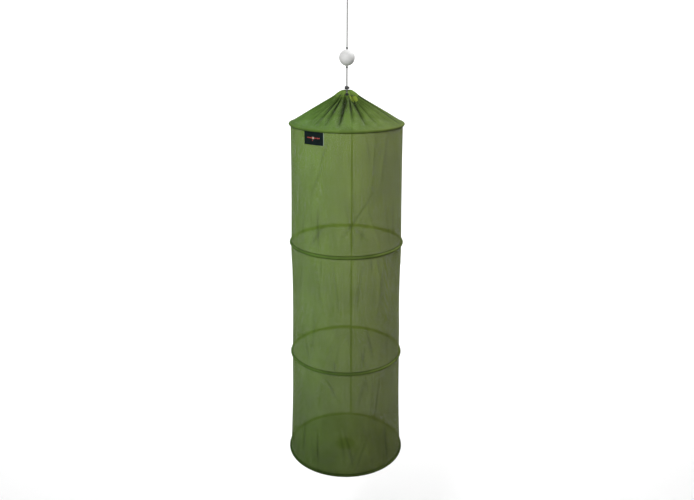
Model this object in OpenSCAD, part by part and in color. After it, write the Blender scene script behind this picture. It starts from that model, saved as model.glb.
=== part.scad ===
// A collapsible ring keepnet that hangs from a cord: four covered hoops, three walls of fine
// mesh between them, a flat base, a mouth drawn shut by a cord in its hem, and a foam float.
// Millimetres, +Z up. The origin is where the end loop of the cord rests on what holds it.

/* [Hoops] */
// Radius of the top hoop, to the middle of its wire
top_r = 195; // [170:1:234]
// Radius of the second hoop
upper_r = 200; // [170:1:240]
// Radius of the third hoop
lower_r = 203; // [170:1:244]
// Radius of the hoop round the base
base_r = 215; // [175:1:258]
// Thickness of the hoop wire
wire_d = 5; // [4:0.2:6]
// Gap left between the two ends of a hoop's wire
wire_gap = 1.2; // [0.5:0.1:3]
// Length of the metal tube that joins a hoop's two ends
ferrule_len = 32; // [24:1:50]
// Wall of that tube
ferrule_wall = 1.2; // [0.8:0.1:1.5]

/* [Mesh] */
// Height between the top hoop and the second
upper_h = 424; // [350:1:510]
// Height between the second hoop and the third
middle_h = 432; // [350:1:520]
// Height between the third hoop and the base
lower_h = 408; // [340:1:490]
// Thickness of the mesh fabric
mesh_t = 0.8; // [0.5:0.1:1.2]
// Thickness of the sleeve round each hoop
sleeve_t = 0.8; // [0.5:0.1:1.2]
// Room between a ferrule and the sleeve round it
sleeve_room = 0.5; // [0.4:0.1:1.5]
// How far the walls stand inside the middle of the hoops
wall_inset = 1.5; // [0.5:0.1:3]
// Width of the seam tape down each wall
tape_w = 6.5; // [6:0.5:14]
// Thickness of the seam tape
tape_t = 1; // [0.6:0.1:1.4]
// Direction of the wall seams, turned from +X
seam_az = 84; // [60:1:120]

/* [Mouth] */
// Height of the gathered rim above the top hoop
mouth_h = 112; // [94:1:135]
// Radius of the hole left in the gathered rim
rim_r = 17; // [14:0.5:20]
// Radius where the hem ends and the mouth panel begins
hem_r = 42; // [41:0.5:50]
// Thickness of the gathered hem
hem_t = 8.4; // [7:0.2:10]
// Direction of the mouth panel's seam, turned from +X
mouth_seam_az = -20; // [-40:1:40]

/* [Label] */
// Width of the sewn label, measured round the wall
label_w = 76; // [50:1:84]
// Height of the label
label_h = 42; // [35:1:55]
// Thickness of the label
label_t = 0.9; // [0.6:0.1:1.5]
// Direction of the label's middle, turned from +X
label_az = 236; // [200:1:260]

/* [Base] */
// Diameter of the patch at the middle of the base
patch_d = 76; // [50:1:110]
// Thickness of the patch
patch_t = 1; // [0.6:0.1:2]

/* [Cord and float] */
// Diameter of the hanging cord
cord_d = 4; // [3:0.1:5]
// Diameter of the drawstring
draw_d = 2.2; // [1.8:0.1:2.7]
// Diameter of the foam float
float_d = 54; // [45:1:65]
// Room between the hanging cord and the float's bore
bore_room = 1; // [0.6:0.1:2]
// Room between the float and the knots that hold it
float_room = 0.6; // [0.4:0.1:1.5]

/* [Cord lock] */
// Diameter of the lock's barrel
lock_d = 11; // [10:0.1:12]
// Diameter of the plunger
plunger_d = 7.4; // [7:0.1:8]
// Room between the plunger and its bore
plunger_room = 0.3; // [0.2:0.05:0.4]
// Travel of the button
press = 2; // [1.5:0.1:2.2]

/* [Hidden] */
$fn = 96;
thin_fn = 32; // sides of wire, tube and cord sections
cord_fn = 8;
past = 1; // how far a cut runs on past what it cuts

// colours
mesh_green = [0.33, 0.46, 0.25];
sleeve_green = [0.40, 0.54, 0.30];
seam_green = [0.24, 0.34, 0.18];
hem_green = [0.42, 0.55, 0.28];
cord_grey = [0.16, 0.16, 0.16];
wire_grey = [0.55, 0.56, 0.58];
lock_black = [0.08, 0.08, 0.08];
foam_white = [0.95, 0.95, 0.94];
label_navy = [0.07, 0.10, 0.18];

// places along the cords, below the origin
loop_knot_drop = 75;
float_knot_drop = 312; // the knot under the float
lock_drop = 380;
rim_drop = 388;

// heights of the hoops and the base
rim_z = -rim_drop;
top_z = rim_z - mouth_h;
upper_z = top_z - upper_h;
lower_z = upper_z - middle_h;
base_z = lower_z - lower_h;

// hoop, ferrule and sleeve, one inside the next
wire_r = wire_d / 2;
ferrule_r = wire_r + ferrule_wall;
sleeve_in = ferrule_r + sleeve_room;
sleeve_r = sleeve_in + sleeve_t;

// walls and panels
sewn = 0.5; // depth to which a sewn edge goes into its sleeve
clear = 0.6; // room between a wall's lower edge and the next hoop's sleeve
touch = 0.1; // room between two fabrics that lie on each other
edge_drop = sqrt(sleeve_r * sleeve_r - wall_inset * wall_inset) - sewn;
base_t = 0.8;
base_under = base_z - sleeve_r;

// the drawn mouth: the hem is a short cone, and the mouth panel runs on from it to the top hoop
hem_fall = 0.616; // how much the hem drops for each millimetre outward
hem_tilt = atan(hem_fall);
hem_end_z = rim_z - hem_fall * (hem_r - rim_r);
hem_gap = 0.4;
panel_from = [hem_r + hem_gap * cos(hem_tilt), hem_end_z - hem_gap * sin(hem_tilt)];
panel_to = [top_r - wall_inset, top_z + sleeve_r + 2 * clear];

// the two legs of the drawstring, side by side
leg_gap = 0.3;
leg_x = (draw_d + leg_gap) / 2; // from the middle to each leg
legs_w = 2 * leg_x + draw_d;

// the drawstring's channel in the hem, and the eyelet that it leaves by
channel_r = 34;
channel_z = -403;
channel_room = 0.8; // round the drawstring
channel_d = draw_d + 2 * channel_room;
eyelet_r = 36;
eyelet_room = 0.95; // at each side of the legs
eyelet_hole = legs_w + 2 * eyelet_room;
eyelet_wall = 1.4;
eyelet_flange = 3.2;
eyelet_d = eyelet_hole + 2 * eyelet_flange;
eyelet_z = rim_z - hem_fall * (eyelet_r - rim_r);
eyelet_sunk = hem_t / 4; // how deep its tube goes into the hem

// knots
knot_h = 7.6;
knot_r = 4.3;
loop_knot_r = 6.4;
loop_knot_pitch = 3.6;

// the float rests on its lower knot
float_bore = cord_d + 2 * bore_room;
ball_top = sqrt(float_d * float_d - float_bore * float_bore) / 2;
float_z = -float_knot_drop + knot_h / 2 + float_room + ball_top;
upper_knot_z = float_z + ball_top + float_room + knot_h / 2;

// cord lock, along X
lock_floor = 1.2;
slot_room = 0.25; // at each side of the legs, along the plunger's slot
slot_gap = 0.55; // before and behind the legs in it
hole_room = 0.55; // at each side of the legs, in the barrel's hole
hole_gap = 0.7; // before and behind the legs in it
plunger_web = 1.3; // from the plunger's end to its slot
slot_y = draw_d + 2 * slot_gap;
lock_hole_x = legs_w + 2 * hole_room;
lock_hole_y = draw_d + 2 * hole_gap;
slot_left = -legs_w / 2 - slot_room;
slot_right = -slot_left + press;
plunger_left = slot_left - plunger_web;
spring_len = 2.6;
lock_left = plunger_left - spring_len - lock_floor;
lock_right = slot_right;
cap_d = plunger_d + 1.6;
cap_t = 1.9;
cap_gap = 0.2;
cap_x = lock_right + press + cap_gap;
spring_wire = 0.55;
spring_turns = 3;
spring_steps = 14;
spring_end_room = 0.05;

// the hanging cord: up from the float's lower knot, round the end loop, and back to its knot
hang_route = [
    [0, 0, -312], [0, 0, -280], [0, 0, -250], [0, 0, -200], [0, 0, -150], [0, 0, -110],
    [0, 0, -90], [0.4, 0, -80], [2, 0, -70], [6, 0, -58], [10, 0, -45], [12.5, 0, -32],
    [12.5, 0, -20], [10.5, 0, -10], [7.5, 0, -3.5], [4, 0, 0.5], [0, 0, 2], [-4, 0, 0.5],
    [-7.5, 0, -3.5], [-10.5, 0, -10], [-12.5, 0, -20], [-12.5, 0, -32], [-10, 0, -45],
    [-7, 0, -58], [-5.2, 0, -68], [-4.9, 0, -76], [-4.9, 0, -88]];

// one leg of the drawstring, from the knot under the float to its channel in the hem
leg_route = [
    [leg_x, 0, -313], [leg_x, 0, -345], [leg_x, 0, -383], [leg_x, 0, -386],
    [leg_x, -1.6, -388], [leg_x, -5, -388.4], [leg_x, -10, -387.2], [leg_x, -17, -386.2],
    [leg_x, -23, -388.4], [leg_x, -29, -391.4], [leg_x, -33.6, -393.2], [leg_x, -36.8, -393.8],
    [leg_x, -38.6, -395.2], [leg_x, -38.2, -396.9], [leg_x, -37, -398.6],
    [leg_x, -35.6, -400.6], [leg_x + 0.8, -34.5, -402.3], [leg_x + 3.2, -34, -403]];
ring_from = -79; // where the drawstring's ring begins, turned from +X
ring_open = 22; // what is left open of the ring, at the eyelet
ring_steps = 30;
function on_channel(az) = [channel_r * cos(az), channel_r * sin(az), channel_z];
ring_route = [for (i = [0 : ring_steps]) on_channel(ring_from + i * (360 - ring_open) / ring_steps)];
function mirrored(p) = [-p.x, p.y, p.z];
other_leg = [for (i = [len(leg_route) - 1 : -1 : 0]) mirrored(leg_route[i])];
draw_route = concat(leg_route, ring_route, other_leg);

// the lock's spring: a helix along X between the bore's floor and the plunger
spring_from = lock_left + lock_floor + spring_end_room + spring_wire / 2;
spring_to = plunger_left - spring_end_room - spring_wire / 2;
spring_r = plunger_d / 2 - spring_wire;
spring_route = [for (i = [0 : spring_turns * spring_steps])
    let (s = i / (spring_turns * spring_steps), a = 360 * i / spring_steps)
    [spring_from + s * (spring_to - spring_from), spring_r * cos(a), spring_r * sin(a)]];

// a round tube swept along a list of points, as one polyhedron
function unit(v) = v / norm(v);
function tangents(p) = [for (i = [0 : len(p) - 1]) unit(p[min(i + 1, len(p) - 1)] - p[max(i - 1, 0)])];
function carried(n, t) = unit(n - (n * t) * t);
function normals(t, first) = [for (i = 0, n = carried(first, t[0]); i < len(t);
    i = i + 1, n = carried(n, t[min(i, len(t) - 1)])) n];
module tube(route, d, first) {
    sides = cord_fn;
    t = tangents(route);
    n = normals(t, first);
    last = len(route) - 1;
    points = [for (i = [0 : last]) for (k = [0 : sides - 1])
        route[i] + d / 2 * (cos(360 * k / sides) * n[i] + sin(360 * k / sides) * cross(t[i], n[i]))];
    sleeve = [for (i = [0 : last - 1]) for (k = [0 : sides - 1])
        let (a = i * sides + k, b = i * sides + (k + 1) % sides) [a, a + sides, b + sides, b]];
    start_cap = [[for (k = [0 : sides - 1]) k]];
    end_cap = [[for (k = [sides - 1 : -1 : 0]) last * sides + k]];
    polyhedron(points, concat(sleeve, start_cap, end_cap));
}

module ring_of(r, z, az = 0, turn = 360) {
    translate([0, 0, z]) rotate([0, 0, az]) rotate_extrude(angle = turn) translate([r, 0]) children();
}

// hoops
module hoop(r, z) {
    gap = wire_gap / r * 180 / PI;
    color(wire_grey) ring_of(r, z, seam_az + gap / 2, 360 - gap) circle(wire_r, $fn = thin_fn);
}

module ferrule(r, z) {
    turn = ferrule_len / r * 180 / PI;
    color(wire_grey) ring_of(r, z, seam_az - turn / 2, turn) difference() {
        circle(ferrule_r, $fn = thin_fn);
        circle(wire_r, $fn = thin_fn);
    }
}

module sleeve(r, z) {
    color(sleeve_green) ring_of(r, z) difference() {
        circle(sleeve_r, $fn = thin_fn);
        circle(sleeve_in, $fn = thin_fn);
    }
}

// a strip of fabric turned round the axis: it follows the line from p to q, and lies between
// two depths under that line, counted inward
module strip(p, q, from, to, az = 0, turn = 360) {
    along = (q - p) / norm(q - p);
    inward = [along.y, -along.x];
    rotate([0, 0, az]) rotate_extrude(angle = turn)
        polygon([p + from * inward, q + from * inward, q + to * inward, p + to * inward]);
}

// the wall between two hoops, and what is sewn to it
function wall_top(r, z) = [r - wall_inset, z - edge_drop];
function wall_end(r, z) = [r - wall_inset, z + sleeve_r + clear];
module wall(r1, z1, r2, z2) {
    color(mesh_green) strip(wall_top(r1, z1), wall_end(r2, z2), 0, mesh_t);
}

module wall_seam(r1, z1, r2, z2) {
    turn = tape_w / r1 * 180 / PI;
    depth = mesh_t + touch;
    color(seam_green) strip(wall_top(r1, z1) - [0, sewn + clear], wall_end(r2, z2) + [0, clear],
        depth, depth + tape_t, seam_az - turn / 2, turn);
}

module label() {
    turn = label_w / top_r * 180 / PI;
    start = wall_top(top_r, top_z);
    along = (wall_end(upper_r, upper_z) - start) / norm(wall_end(upper_r, upper_z) - start);
    from = start + along * (sewn + 2 * clear);
    color(label_navy) strip(from, from + along * label_h, -touch - label_t, -touch,
        label_az - turn / 2, turn);
}

// base
module base_panel() {
    color(mesh_green) translate([0, 0, base_under]) cylinder(r = base_r, h = base_t);
}

module base_patch() {
    color(seam_green) translate([0, 0, base_under + base_t]) cylinder(d = patch_d, h = patch_t);
}

// the drawn mouth
module mouth_panel() {
    color(mesh_green) strip(panel_from, panel_to, 0, mesh_t);
}

module mouth_seam() {
    turn = tape_w / top_r * 180 / PI;
    along = (panel_to - panel_from) / norm(panel_to - panel_from);
    color(seam_green) strip(panel_from, panel_to - along * clear, -touch - tape_t, -touch,
        mouth_seam_az - turn / 2, turn);
}

module eyelet_axis() {
    translate([0, -eyelet_r, eyelet_z]) rotate([hem_tilt, 0, 0]) children();
}

module mouth_hem() {
    color(hem_green) difference() {
        strip([rim_r, rim_z], [hem_r, hem_end_z], 0, hem_t);
        ring_of(channel_r, channel_z) circle(d = channel_d, $fn = thin_fn);
        eyelet_axis() translate([0, 0, -hem_t / 2 - channel_d / 2])
            cylinder(d = eyelet_hole + 2 * eyelet_wall, h = hem_t + channel_d);
    }
}

module mouth_eyelet() {
    color(lock_black) eyelet_axis() difference() {
        union() {
            translate([0, 0, touch]) cylinder(d = eyelet_d, h = eyelet_wall);
            translate([0, 0, -eyelet_sunk])
                cylinder(d = eyelet_hole + 2 * eyelet_wall - 2 * touch, h = eyelet_sunk + 2 * touch);
        }
        cylinder(d = eyelet_hole, h = 2 * hem_t, center = true);
    }
}

// knots: bulbs turned round the cord
module knot(z, h, r) {
    translate([0, 0, z]) rotate_extrude() {
        translate([0, -h / 2]) square([r - h / 2, h]);
        intersection() {
            translate([r - h / 2, 0]) circle(d = h, $fn = thin_fn);
            translate([0, -h]) square([r, 2 * h]);
        }
    }
}

module loop_knot() {
    color(cord_grey) for (side = [-1, 1])
        knot(-loop_knot_drop + side * loop_knot_pitch, knot_h, loop_knot_r);
}

module float_knot(z) {
    color(cord_grey) knot(z, knot_h, knot_r);
}

module float_ball() {
    color(foam_white) translate([0, 0, float_z]) difference() {
        sphere(d = float_d);
        cylinder(d = float_bore, h = 2 * float_d, center = true);
    }
}

module hang_cord() {
    color(cord_grey) tube(hang_route, cord_d, [0, 1, 0]);
}

module draw_cord() {
    color(cord_grey) tube(draw_route, draw_d, [1, 0, 0]);
}

// cord lock: a barrel, a sprung plunger with a cap, and a slot through both for the two legs
module along_x(from, to, d) {
    translate([from, 0, 0]) rotate([0, 90, 0]) cylinder(d = d, h = to - from);
}

module leg_slot(from, to, width) {
    for (x = [from + width / 2, to - width / 2])
        translate([x, 0, 0]) cylinder(d = width, h = 2 * lock_d, center = true);
    translate([from + width / 2, -width / 2, -lock_d]) cube([to - from - width, width, 2 * lock_d]);
}

module at_lock() {
    translate([0, 0, -lock_drop]) children();
}

module cord_lock() {
    color(lock_black) at_lock() difference() {
        along_x(lock_left, lock_right, lock_d);
        along_x(lock_left + lock_floor, lock_right + past, plunger_d + 2 * plunger_room);
        leg_slot(-lock_hole_x / 2, lock_hole_x / 2, lock_hole_y);
    }
}

module lock_button() {
    color(lock_black) at_lock() difference() {
        union() {
            along_x(plunger_left, cap_x + cap_t / 2, plunger_d);
            along_x(cap_x, cap_x + cap_t, cap_d);
        }
        leg_slot(slot_left, slot_right, slot_y);
    }
}

module lock_spring() {
    color(wire_grey) at_lock() tube(spring_route, spring_wire, [1, 0, 0]);
}

hang_cord();
loop_knot();
float_knot(upper_knot_z);  // float_upper_knot
float_knot(-float_knot_drop);  // float_lower_knot
float_ball();
draw_cord();
cord_lock();
lock_button();
lock_spring();
mouth_eyelet();
mouth_hem();
mouth_panel();
mouth_seam();
hoop(top_r, top_z);  // hoop_top
ferrule(top_r, top_z);  // ferrule_top
sleeve(top_r, top_z);  // sleeve_top
wall(top_r, top_z, upper_r, upper_z);  // wall_upper
wall_seam(top_r, top_z, upper_r, upper_z);  // seam_upper
label();
hoop(upper_r, upper_z);  // hoop_upper
ferrule(upper_r, upper_z);  // ferrule_upper
sleeve(upper_r, upper_z);  // sleeve_upper
wall(upper_r, upper_z, lower_r, lower_z);  // wall_middle
wall_seam(upper_r, upper_z, lower_r, lower_z);  // seam_middle
hoop(lower_r, lower_z);  // hoop_lower
ferrule(lower_r, lower_z);  // ferrule_lower
sleeve(lower_r, lower_z);  // sleeve_lower
wall(lower_r, lower_z, base_r, base_z);  // wall_lower
wall_seam(lower_r, lower_z, base_r, base_z);  // seam_lower
hoop(base_r, base_z);  // hoop_base
ferrule(base_r, base_z);  // ferrule_base
sleeve(base_r, base_z);  // sleeve_base
base_panel();
base_patch();
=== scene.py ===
"""A ring keepnet hung from a cord: covered hoops, walls of fine mesh, a drawn mouth and a foam float."""
import math

import bpy
import numpy as np
from mathutils import Matrix, Vector


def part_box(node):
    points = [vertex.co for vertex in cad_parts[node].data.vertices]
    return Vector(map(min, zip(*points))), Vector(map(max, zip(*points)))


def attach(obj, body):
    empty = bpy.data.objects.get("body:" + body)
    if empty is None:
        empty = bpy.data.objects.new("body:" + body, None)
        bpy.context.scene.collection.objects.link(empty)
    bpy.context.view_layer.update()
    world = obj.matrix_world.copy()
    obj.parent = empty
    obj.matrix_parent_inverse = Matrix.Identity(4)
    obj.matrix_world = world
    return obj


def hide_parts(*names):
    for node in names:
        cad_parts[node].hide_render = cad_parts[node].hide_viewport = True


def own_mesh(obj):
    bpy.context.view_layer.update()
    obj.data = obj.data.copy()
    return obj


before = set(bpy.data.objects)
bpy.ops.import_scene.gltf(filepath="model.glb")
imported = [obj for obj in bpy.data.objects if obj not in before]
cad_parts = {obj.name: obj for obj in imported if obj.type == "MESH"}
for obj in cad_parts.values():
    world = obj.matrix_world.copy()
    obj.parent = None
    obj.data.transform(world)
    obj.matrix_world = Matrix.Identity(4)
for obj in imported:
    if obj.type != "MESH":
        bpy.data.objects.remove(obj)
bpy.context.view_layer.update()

MM = 0.001
RINGS = ("top", "upper", "lower", "base")
BODY = {"top": "top_ring", "upper": "upper_ring", "lower": "lower_ring", "base": "base_ring"}
SECTIONS = (("upper", "top", "upper"), ("middle", "upper", "lower"), ("lower", "lower", "base"))
SECTION_JOINT = {"upper": "upper_fold", "middle": "middle_fold", "lower": "lower_fold"}


# ---------------- sizes, from the frame

def hoop_size(ring):
    """Radius to the middle of a hoop's wire, and the height of that middle."""
    low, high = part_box("hoop_" + ring)
    wire = (high.z - low.z) / 2
    return (high.x - low.x) / 2 - wire, (high.z + low.z) / 2


HOOP = {ring: hoop_size(ring) for ring in RINGS}
SLEEVE_R = (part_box("sleeve_top")[1].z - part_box("sleeve_top")[0].z) / 2
WALL_INSET = 1.5 * MM  # how far the walls stand inside the middle of the wire
WALL_EDGE = 0.6 * SLEEVE_R  # from the middle of a wire to the edge of the wall sewn to it
SEAM_AZ = 84  # the wall seams, in degrees from +X, as all azimuths here
MOUTH_SEAM_AZ = -20
TAPE_W = 6.5 * MM  # of the tape over each seam
LABEL_AZ = 236
LABEL_W, LABEL_H = 76 * MM, 42 * MM
RIM_R, RIM_Z = 17 * MM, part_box("mouth_hem")[1].z  # the top of the gathered hem
HEM_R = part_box("mouth_hem")[1].x
HEM_FALL = 0.616  # how far the cone drops for each step outward
HEM_T = 8.4 * MM  # through the hem, with the drawstring in it
EYELET_R = 36 * MM  # from the net's axis to the eyelet
PANEL_FOOT_Z = HOOP["top"][1] + 0.8 * SLEEVE_R  # where the cone meets the top hoop's sleeve


# ---------------- camera

CAMERA_AT = (0, -2.457, -0.147)
CAMERA_TILT = 17.11  # degrees below the horizon
CAMERA_ROLL = 0.22
LENS = 36.92
SENSOR_W = 36
SHIFT_X, SHIFT_Y = 0.001, -0.0216


def make_camera():
    data = bpy.data.cameras.new("camera")
    data.lens = LENS
    data.sensor_width = SENSOR_W
    data.shift_x = SHIFT_X
    data.shift_y = SHIFT_Y
    camera = bpy.data.objects.new("camera", data)
    camera.location = CAMERA_AT
    tilt = Matrix.Rotation(math.radians(90 - CAMERA_TILT), 3, "X")
    camera.rotation_euler = (tilt @ Matrix.Rotation(math.radians(CAMERA_ROLL), 3, "Z")).to_euler()
    bpy.context.scene.collection.objects.link(camera)
    bpy.context.scene.camera = camera


make_camera()


# ---------------- meshes

def new_piece(name, points, faces, material, smooth=True):
    mesh = bpy.data.meshes.new(name)
    mesh.from_pydata([tuple(p) for p in points], [], [tuple(f) for f in faces])
    mesh.materials.append(material)
    mesh.polygons.foreach_set("use_smooth", [smooth] * len(mesh.polygons))
    piece = bpy.data.objects.new(name, mesh)
    bpy.context.scene.collection.objects.link(piece)
    return piece


def add_map(mesh, name, corners):
    layer = mesh.uv_layers.new(name=name)
    layer.data.foreach_set("uv", np.asarray(corners, float).ravel())


def grid_piece(name, points, material, flat, wrap=True, keep=None, folded=None):
    """A surface through rows and columns of points, seen from outside with the first row on top.
    flat is its width and height in metres, for the weave; keep says which faces stay; folded is how far
    each point lies in a fold, from 0 to 1, which the cloth materials darken as painted shade."""
    rows, columns = points.shape[:2]
    steps = columns if wrap else columns - 1
    i, j = (a.ravel() for a in np.meshgrid(np.arange(rows - 1), np.arange(steps), indexing="ij"))
    if keep is not None:
        i, j = i[keep.ravel()], j[keep.ravel()]
    right = (j + 1) % columns
    above, below = i * columns, (i + 1) * columns
    faces = np.stack([above + j, below + j, below + right, above + right], 1)
    piece = new_piece(name, points.reshape(-1, 3), faces, material)
    u = np.stack([j, j, j + 1, j + 1], 1) / steps
    v = 1 - np.stack([i, i + 1, i + 1, i], 1) / (rows - 1)
    add_map(piece.data, "OFBake", np.stack([u, v], -1))
    add_map(piece.data, "Cloth", np.stack([u * flat[0], v * flat[1]], -1))
    if folded is not None:
        # the painted shade of the folds, which the cloth materials read
        piece.data.attributes.new("FoldShade", "FLOAT", "POINT").data.foreach_set("value", folded.ravel())
    return piece


def distance_along(line):
    """How far along a line each of its points is."""
    return np.concatenate([[0], np.cumsum(np.linalg.norm(np.diff(line, axis=0), axis=1))])


def smooth_line(points, step):
    """A smooth curve through a list of points, as points that lie a step apart."""
    p = np.array(points, float)
    p = np.vstack([2 * p[0] - p[1], p, 2 * p[-1] - p[-2]])
    found = []
    for a, b, c, d in zip(p, p[1:], p[2:], p[3:]):
        parts = max(2, int(np.linalg.norm(c - b) / step) + 1)
        for t in np.arange(parts) / parts:
            found.append(0.5 * (2 * b + (c - a) * t + (2 * a - 5 * b + 4 * c - d) * t ** 2
                                + (3 * b - a - 3 * c + d) * t ** 3))
    found.append(p[-2])
    found = np.array(found)
    at = distance_along(found)
    even = np.linspace(0, at[-1], max(2, int(at[-1] / step)))
    return np.stack([np.interp(even, at, found[:, k]) for k in range(3)], 1)


def line_length(points):
    return float(distance_along(points)[-1])


def frames_along(line):
    """Two directions across a line at each of its points, carried along without twist."""
    along = np.gradient(line, axis=0)
    along /= np.linalg.norm(along, axis=1)[:, None]
    side = np.cross(along[0], [0, 1, 0] if abs(along[0][1]) < 0.8 else [1, 0, 0])
    sides = []
    for t in along:
        side = side - side.dot(t) * t
        side = side / np.linalg.norm(side)
        sides.append(side)
    sides = np.array(sides)
    return sides, np.cross(along, sides)


STRANDS = 4  # pairs of strands round a braided cord
BRAID_DEPTH = 0.10  # of the cord's radius
BRAID_LAY = 0.55  # length of one diamond, of the cord's diameter
CUT_END = 0.02  # how small a cord's cut end closes, as a share of its area


def braided(name, line, diameter, material, sides=24):
    """A braided cord along a line: a tube with the diamonds of its strands and rounded ends."""
    a, b = frames_along(line)
    turn = np.arange(sides) * 2 * math.pi / sides
    at = distance_along(line)
    lay = math.pi * at / (BRAID_LAY * diameter)
    twist = STRANDS * turn[None, :]
    relief = np.abs(np.sin(twist + lay[:, None]) * np.sin(twist - lay[:, None])) ** 0.5
    radius = diameter / 2 * (1 - BRAID_DEPTH + BRAID_DEPTH * relief)
    from_end = np.minimum(at, at[-1] - at) / (diameter / 2)
    closing = np.sqrt(np.clip(1 - (1 - from_end).clip(0) ** 2, CUT_END, 1))
    radius = radius * closing[:, None]
    across = np.cos(turn)[None, :, None] * a[:, None] + np.sin(turn)[None, :, None] * b[:, None]
    points = line[:, None] + radius[..., None] * across
    return grid_piece(name, points[:, ::-1], material, (math.pi * diameter, at[-1]))


def turned(name, outline, material, steps=96):
    """A solid turned round a vertical axis: outline is a closed list of (radius, height)."""
    az = np.arange(steps) * 2 * math.pi / steps
    outline = np.array(outline + outline[:1])
    points = np.stack([outline[:, :1] * np.cos(az), outline[:, :1] * np.sin(az),
                       np.repeat(outline[:, 1:], steps, 1)], -1)
    return grid_piece(name, points, material, (2 * math.pi * outline[:, 0].max(), line_length(outline)))


def round_points(az, radius, height):
    """Points at azimuths in radians, as one array of x, y, z."""
    return np.stack(np.broadcast_arrays(radius * np.cos(az), radius * np.sin(az), height), -1)


def around(count):
    """Azimuths in radians all the way round, as one row."""
    return np.arange(count)[None, :] * 2 * math.pi / count


def apply_modifiers(piece):
    graph = bpy.context.evaluated_depsgraph_get()
    graph.update()
    made = bpy.data.meshes.new_from_object(piece.evaluated_get(graph))
    piece.modifiers.clear()
    piece.data = made


def place(piece, body, *nodes, slot=None):
    """Puts a finished piece on its body, in the place of its CAD nodes."""
    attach(piece, body)
    if nodes:
        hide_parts(*nodes)
    return piece


# ---------------- materials

def new_group(name, inputs, outputs):
    group = bpy.data.node_groups.new(name, "ShaderNodeTree")
    for socket, kind, value in inputs:
        made = group.interface.new_socket(name=socket, in_out="INPUT", socket_type=kind)
        if value is not None:
            made.default_value = value
    for socket, kind in outputs:
        group.interface.new_socket(name=socket, in_out="OUTPUT", socket_type=kind)
    return group, group.nodes.new("NodeGroupInput"), group.nodes.new("NodeGroupOutput")


MIX_A, MIX_B, MIX_RESULT = 6, 7, 2  # the colour sockets of a mix node


class Wires:
    """Adds nodes to a tree and joins them, one line each."""

    def __init__(self, tree):
        self.tree = tree

    def put(self, value, socket):
        if isinstance(value, bpy.types.NodeSocket):
            self.tree.links.new(value, socket)
        else:
            socket.default_value = value

    def math(self, operation, a, b=0.0, c=0.0):
        node = self.tree.nodes.new("ShaderNodeMath")
        node.operation = operation
        for value, socket in zip((a, b, c), node.inputs):
            self.put(value, socket)
        return node.outputs[0]

    def mix(self, factor, a, b, blend="MIX"):
        node = self.tree.nodes.new("ShaderNodeMix")
        node.data_type = "RGBA"
        node.blend_type = blend
        self.put(factor, node.inputs[0])
        self.put(a, node.inputs[MIX_A])
        self.put(b, node.inputs[MIX_B])
        return node.outputs[MIX_RESULT]

    def ramp(self, value, low, high, to_low=0.0, to_high=1.0):
        node = self.tree.nodes.new("ShaderNodeMapRange")
        node.interpolation_type = "SMOOTHSTEP"
        for k, v in enumerate((value, low, high, to_low, to_high)):
            self.put(v, node.inputs[k])
        return node.outputs[0]

    def noise(self, vector, scale, detail=3.0, roughness=0.55):
        node = self.tree.nodes.new("ShaderNodeTexNoise")
        self.put(vector, node.inputs["Vector"])
        self.put(scale, node.inputs["Scale"])
        node.inputs["Detail"].default_value = detail
        node.inputs["Roughness"].default_value = roughness
        return node.outputs["Fac"]

    def stretch(self, vector, scale):
        node = self.tree.nodes.new("ShaderNodeVectorMath")
        node.operation = "MULTIPLY"
        self.put(vector, node.inputs[0])
        self.put(scale, node.inputs[1])
        return node.outputs[0]

    def parts(self, vector):
        node = self.tree.nodes.new("ShaderNodeSeparateXYZ")
        self.put(vector, node.inputs[0])
        return node.outputs

    def bump(self, height, strength, distance):
        node = self.tree.nodes.new("ShaderNodeBump")
        node.inputs["Strength"].default_value = strength
        node.inputs["Distance"].default_value = distance
        self.put(height, node.inputs["Height"])
        return node.outputs["Normal"]

    def group(self, tree, **values):
        node = self.tree.nodes.new("ShaderNodeGroup")
        node.node_tree = tree
        for name, value in values.items():
            self.put(value, node.inputs[name.replace("_", " ")])
        return node.outputs

    def place(self):
        return self.tree.nodes.new("ShaderNodeTexCoord").outputs["Object"]

    # the painted shade of folds that grid_piece stores on a piece
    def folded(self):
        node = self.tree.nodes.new("ShaderNodeAttribute")
        node.attribute_name = "FoldShade"
        return node.outputs["Fac"]

    def cloth_map(self):
        node = self.tree.nodes.new("ShaderNodeUVMap")
        node.uv_map = "Cloth"
        return node.outputs[0]


THREAD_SOFT = 0.2  # how soft a thread's edge is, as a share of its width


def make_weave():
    """Threads that cross over and under each other. Cover is 1 on a thread and 0 in a hole."""
    group, given, out = new_group(
        "Weave",
        [("Vector", "NodeSocketVector", None), ("Pitch", "NodeSocketFloat", 0.002),
         ("Thread", "NodeSocketFloat", 0.6)],
        [("Cover", "NodeSocketFloat"), ("Height", "NodeSocketFloat")])
    w = Wires(group)
    x, y, _ = w.parts(given.outputs["Vector"])
    crowns = []
    for coordinate in (x, y):
        run = w.math("DIVIDE", coordinate, given.outputs["Pitch"])
        off = w.math("ABSOLUTE", w.math("SUBTRACT", w.math("FRACT", run), 0.5))
        crowns.append((run, w.math("MULTIPLY", off, 2.0)))
    inner = w.math("MULTIPLY", given.outputs["Thread"], 1 - THREAD_SOFT)
    outer = w.math("MULTIPLY", given.outputs["Thread"], 1 + THREAD_SOFT)
    covers = [w.ramp(off, inner, outer, 1.0, 0.0) for _, off in crowns]
    w.put(w.math("MAXIMUM", *covers), out.inputs["Cover"])
    crossing = w.math("ADD", w.math("FLOOR", crowns[0][0]), w.math("FLOOR", crowns[1][0]))
    over = w.math("SINE", w.math("MULTIPLY", crossing, math.pi))
    lift = w.math("ADD", w.math("MULTIPLY", over, 0.25), 0.5)
    first = w.math("MULTIPLY", covers[0], w.math("ADD", lift, 0.25))
    second = w.math("MULTIPLY", covers[1], w.math("SUBTRACT", 1.0, lift))
    w.put(w.math("MAXIMUM", first, second), out.inputs["Height"])
    return group


SIDE_LIGHT_REACH = 0.2  # painted light and shade: the cloth turns from the lit left tint to the shaded right one over this far to each side


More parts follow.
